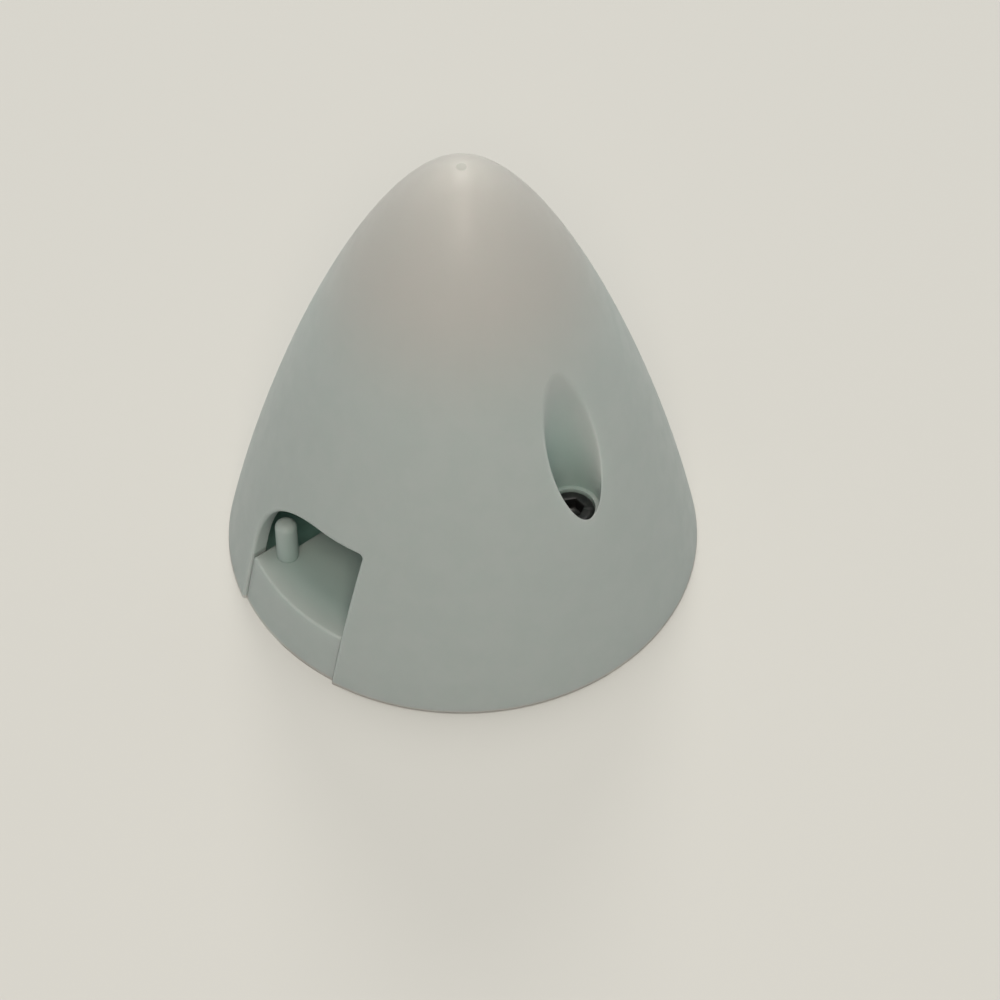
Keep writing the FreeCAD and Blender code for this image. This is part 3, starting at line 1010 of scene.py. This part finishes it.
@dataclass
class CapScrew:
    """Socket head cap screw with a knurled head, a hexagon socket and rolled threads.

    Each profile is a row of levels, as distances from the seat, the top or the socket's foot, and
    how far in, out or deep the surface is there, in millimetres.
    """

    node: str
    finish: bpy.types.Material
    head_radius: float = 2.87
    head_height: float = 3.505
    thread_radius: float = 1.7526
    pitch: float = 0.79375
    key_flats: float = 2.778
    key_depth: float = 1.63
    ridges: int = 30
    corners: int = 120
    levels_per_turn: int = 10
    depth_share: float = 0.6134
    crest_share: float = 0.125
    flank_share: float = 0.70
    lead: float = 0.45
    runout_turns: float = 1.2
    point: Span = (0.9, 1.2526)
    neck: Profile = ((-0.14, 0.0), (-0.04, 0.04), (0.0, 0.14))
    under_head: Profile = ((0.0, 0.14), (0.04, 0.05), (0.12, 0.0))
    knurl_start: Profile = ((0.22, 0.02), (0.34, 0.13))
    knurl_end: Profile = ((0.70, 0.13), (0.52, 0.05))
    crown: Profile = ((0.36, 0.01), (0.28, 0.05), (0.06, 0.26), (0.0, 0.36), (0.0, 0.7))
    mouth: Profile = ((0.0, 0.20), (0.03, 0.10), (0.14, 0.01), (0.24, 0.0))
    drill: Profile = ((0.0, 1.16), (0.06, 1.06), (0.56, 0.12))

    def hexagon(self, ease: float = 0.0) -> RadiusAt:
        """Give the radius of the key socket.

        Args:
            ease: how much wider it is on each side.

        Returns:
            The radius as a function of angle and height.
        """
        half = self.key_flats / 2 + ease

        def radius(angle: float, height: float) -> float:
            """Return the reach of the hexagon at this angle."""
            share = (angle + math.pi / 6) % (math.pi / 3) - math.pi / 6
            return half / math.cos(share)
        return radius

    def knurl(self, depth: float) -> RadiusAt:
        """Give the radius of the head's side with straight grooves.

        Args:
            depth: how deep the grooves are.

        Returns:
            The radius as a function of angle and height.
        """
        def radius(angle: float, height: float) -> float:
            """Return the reach of the grooved side at this angle."""
            wave = 0.5 - 0.5 * math.cos(angle * self.ridges)
            return self.head_radius - depth * wave ** 0.7
        return radius

    def thread(self, tip: float, runout: float) -> RadiusAt:
        """Give the radius of the thread between its tip and its run-out.

        Args:
            tip: height of the screw's end.
            runout: height where the thread fades into the plain shank.

        Returns:
            The radius as a function of angle and height.
        """
        depth = self.depth_share * self.pitch

        def radius(angle: float, height: float) -> float:
            """Return the reach of the thread at this angle and height."""
            phase = (height / self.pitch - angle / (2 * math.pi)) % 1.0
            flank = min(phase, 1.0 - phase) * 2.0
            groove = min(max((flank - self.crest_share) / self.flank_share, 0.0), 1.0)
            fade = min(max((runout - height) / self.pitch, 0.0), 1.0)
            cone = self.thread_radius - self.lead + min(height - tip, self.lead)
            return min(self.thread_radius - depth * groove * fade, cone)
        return radius

    def build(self) -> bpy.types.Object:
        """Loft the screw from its tip to the bottom of its key socket.

        Returns:
            The finished screw.
        """
        low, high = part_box(self.node)
        tip, top = low.z / MM, high.z / MM
        seat = top - self.head_height
        runout = seat - self.runout_turns * self.pitch
        thread = self.thread(tip, runout)
        step = self.pitch / self.levels_per_turn
        rings = [round_ring(tip, reach) for reach in self.point]
        for number in range(int((runout - tip) / step)):
            rings.append(Ring(tip + 0.02 + number * step, thread))
        rings.append(round_ring(runout, self.thread_radius))
        rings += [round_ring(seat + up, self.thread_radius + out) for up, out in self.neck]
        rings += [round_ring(seat + up, self.head_radius - inset) for up, inset in self.under_head]
        rings += [Ring(seat + up, self.knurl(depth)) for up, depth in self.knurl_start]
        rings += [Ring(top - drop, self.knurl(depth)) for drop, depth in self.knurl_end]
        rings += [round_ring(top - drop, self.head_radius - inset) for drop, inset in self.crown]
        rings += [Ring(top - drop, self.hexagon(ease)) for drop, ease in self.mouth]
        foot = top - self.key_depth
        rings += [Ring(foot + 0.12, self.hexagon()), Ring(foot, self.hexagon(-0.06))]
        rings += [round_ring(foot - drop, reach) for drop, reach in self.drill]
        bm = loft(rings, self.corners, axis_of(self.node))
        piece = piece_from(bm, f"{self.node}_steel", self.finish, sharp_over=38.0)
        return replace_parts(piece, self.node)


@dataclass
class AdapterRing:
    """Moulded ring between the hub and the crankshaft, with soft rims and a seam left by the mould."""

    finish: bpy.types.Material
    radius: float = 4.75
    bore: float = 3.2
    rim: float = 0.35
    rim_folds: float = 60.0
    rounds: int = 5
    steps: int = 128
    flash: float = 0.03
    flash_root: float = 0.12
    flash_edge: float = 0.03

    def build(self) -> bpy.types.Object:
        """Spin the section, round its rims and dress it.

        Returns:
            The finished ring.
        """
        low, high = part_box("adapter_ring")
        bottom, top = low.z / MM, high.z / MM
        middle = (bottom + top) / 2
        bm = bmesh.new()
        side = self.radius - self.flash
        outline = [(self.bore, bottom), (side, bottom), (side, middle - self.flash_root),
                   (self.radius, middle - self.flash_edge), (self.radius, middle + self.flash_edge),
                   (side, middle + self.flash_root), (side, top), (self.bore, top)]
        verts = [bm.verts.new((across, 0.0, level)) for across, level in outline]
        for here, there in zip(verts, verts[1:] + verts[:1]):
            bm.edges.new((here, there))
        bmesh.ops.spin(bm, geom=bm.verts[:] + bm.edges[:], cent=(0, 0, 0), axis=(0, 0, 1),
                       dvec=(0, 0, 0), angle=math.tau, steps=self.steps, use_merge=True,
                       use_duplicate=False, use_normal_flip=False)
        bmesh.ops.remove_doubles(bm, verts=bm.verts, dist=WELD)
        bmesh.ops.recalc_face_normals(bm, faces=bm.faces)
        rims = [edge for edge in bm.edges if edge.is_manifold
                and edge.calc_face_angle(0.0) > math.radians(self.rim_folds)]
        bmesh.ops.bevel(bm, geom=rims, affect="EDGES", offset=self.rim, offset_type="OFFSET",
                        segments=self.rounds, profile=0.5, material=-1, clamp_overlap=True)
        piece = piece_from(bm, "adapter_ring_moulding", self.finish, sharp_over=50.0)
        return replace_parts(piece, "adapter_ring")


# ---------------------------------------------------------------------------------------------------
# Studio
# ---------------------------------------------------------------------------------------------------


@dataclass(frozen=True)
class Lamp:
    """One soft box: where it stands, how large it is and how strong it is."""

    name: str
    place: tuple[float, float, float]
    size: float
    power: float
    colour: Colour


@dataclass
class Studio:
    """Pale floor, soft boxes, an even sky and the camera."""

    azimuth: float = -40.95
    elevation: float = 48.961
    distance: float = 0.42
    roll: float = -0.517
    shift: tuple[float, float] = (-5.003 * MM, -3.649 * MM)
    lens: float = 111.54
    sensor: float = 36.0
    aim_height: float = 0.03
    sky: float = 0.29
    sky_tint: Colour = (0.91, 1.0, 1.0)
    far_seen: Colour = (0.690, 0.665, 0.610)
    far_from: float = 0.25
    far_to: float = 0.75
    floor_half: float = 4.0
    floor_seen: Colour = (0.60, 0.595, 0.575)
    floor_light: Colour = (0.34, 0.37, 0.365)
    lamps: list[Lamp] = field(default_factory=lambda: [
        Lamp("Overhead box", (0.14, 0.16, 1.05), 0.60, 6.2, (1.0, 0.965, 0.90)),
        Lamp("Back box", (0.55, 0.66, 0.75), 0.35, 2.4, (1.0, 0.96, 0.90)),
        Lamp("Front box", (-0.42, -0.50, 0.80), 0.40, 3.8, (1.0, 0.89, 0.78)),
    ])

    def add_camera(self) -> None:
        """Set the camera to look down on the base from the front left."""
        turn, lift, lean = (math.radians(value) for value in (self.azimuth, self.elevation, self.roll))
        right = Vector((math.cos(turn), math.sin(turn), 0.0))
        toward = Vector((math.sin(turn) * math.cos(lift), -math.cos(turn) * math.cos(lift),
                         math.sin(lift)))
        up = toward.cross(right)
        across, down = self.shift
        c, s = math.cos(lean), math.sin(lean)
        place = right * (-c * across - s * down) + up * (s * across - c * down) + toward * self.distance
        axes = (right * c - up * s, right * s + up * c, toward)
        data = bpy.data.cameras.new("Camera")
        data.lens, data.sensor_width = self.lens, self.sensor
        data.clip_start, data.clip_end = 0.01, 20.0
        camera = bpy.data.objects.new("Camera", data)
        camera.matrix_world = Matrix.Translation(place) @ Matrix(axes).transposed().to_4x4()
        bpy.context.scene.collection.objects.link(camera)
        bpy.context.scene.camera = camera

    def add_floor(self) -> None:
        """Lay the floor, paler to the eye than in its own light, and fade it into the sky far off."""
        bm = bmesh.new()
        bmesh.ops.create_grid(bm, x_segments=2, y_segments=2, size=self.floor_half)
        mesh = bpy.data.meshes.new("Floor")
        bm.to_mesh(mesh)
        bm.free()
        paper, g = new_material("Floor")
        path = g.add("ShaderNodeLightPath").outputs
        seen = g.maths("MAXIMUM", g.maths("MAXIMUM", path["Is Camera Ray"], path["Is Glossy Ray"]),
                       path["Is Transmission Ray"])
        shader = g.add("ShaderNodeBsdfPrincipled")
        colour = g.blend(seen, rgba(self.floor_light), rgba(self.floor_seen))
        g.join(colour, shader.inputs["Base Color"])
        shader.inputs["Roughness"].default_value = 0.9
        shader.inputs["Specular IOR Level"].default_value = 0.1
        spread = g.add("ShaderNodeVectorMath", operation="LENGTH")
        g.join(g.add("ShaderNodeTexCoord").outputs["Object"], spread.inputs[0])
        far = g.band(spread.outputs["Value"], self.far_from, self.far_to)
        glow = g.add("ShaderNodeEmission")
        glow.inputs["Color"].default_value = rgba(self.far_seen)
        sweep = g.add("ShaderNodeMixShader")
        g.feed(sweep.inputs[0], g.maths("MULTIPLY", far, path["Is Camera Ray"]))
        g.join(shader.outputs[0], sweep.inputs[1])
        g.join(glow.outputs[0], sweep.inputs[2])
        g.join(sweep.outputs[0], g.add("ShaderNodeOutputMaterial").inputs["Surface"])
        mesh.materials.append(paper)
        floor = bpy.data.objects.new("Floor", mesh)
        bpy.context.scene.collection.objects.link(floor)

    def add_light(self) -> None:
        """Hang the soft boxes and light the sky evenly."""
        for lamp in self.lamps:
            data = bpy.data.lights.new(lamp.name, "AREA")
            data.shape, data.size = "DISK", lamp.size
            data.energy, data.color = lamp.power, lamp.colour
            box = bpy.data.objects.new(lamp.name, data)
            box.location = lamp.place
            aim = Vector((0.0, 0.0, self.aim_height)) - Vector(lamp.place)
            box.rotation_euler = aim.to_track_quat("-Z", "Y").to_euler()
            bpy.context.scene.collection.objects.link(box)
        world = bpy.data.worlds.new("Sky")
        world.use_nodes = True
        g = Graph(world.node_tree)
        back = g.add("ShaderNodeBackground")
        lit = tuple(self.sky * part for part in self.sky_tint)
        seen = g.add("ShaderNodeLightPath").outputs["Is Camera Ray"]
        g.join(g.blend(seen, rgba(lit), rgba(self.far_seen)), back.inputs["Color"])
        back.inputs["Strength"].default_value = 1.0
        g.join(back.outputs[0], g.add("ShaderNodeOutputWorld").inputs["Surface"])
        bpy.context.scene.world = world

    def build(self) -> None:
        """Set up the whole studio."""
        self.add_camera()
        self.add_floor()
        self.add_light()
        bpy.context.scene.view_settings.view_transform = "Standard"
        LOG.info("studio ready")


def main() -> None:
    """Build the spinner piece by piece and set up its studio."""
    logging.basicConfig(level=logging.INFO, format="%(message)s")
    ogive = Ogive()
    skin, marks, recess = moulded_skin(), handling_marks(), recess_depth(ogive)
    nylon = Nylon(skin, marks, recess).material()
    steel = BlackOxide(marks).material()
    dark = DarkNylon(skin, marks).material()
    screws = ["cap_screw_a", "cap_screw_b"]
    NoseCone(nylon, ogive, [axis_of(node) for node in screws]).build()
    Backplate(nylon).build()
    for node in screws:
        CapScrew(node, steel).build()
    AdapterRing(dark).build()
    Studio().build()


if __name__ == "__main__":
    main()
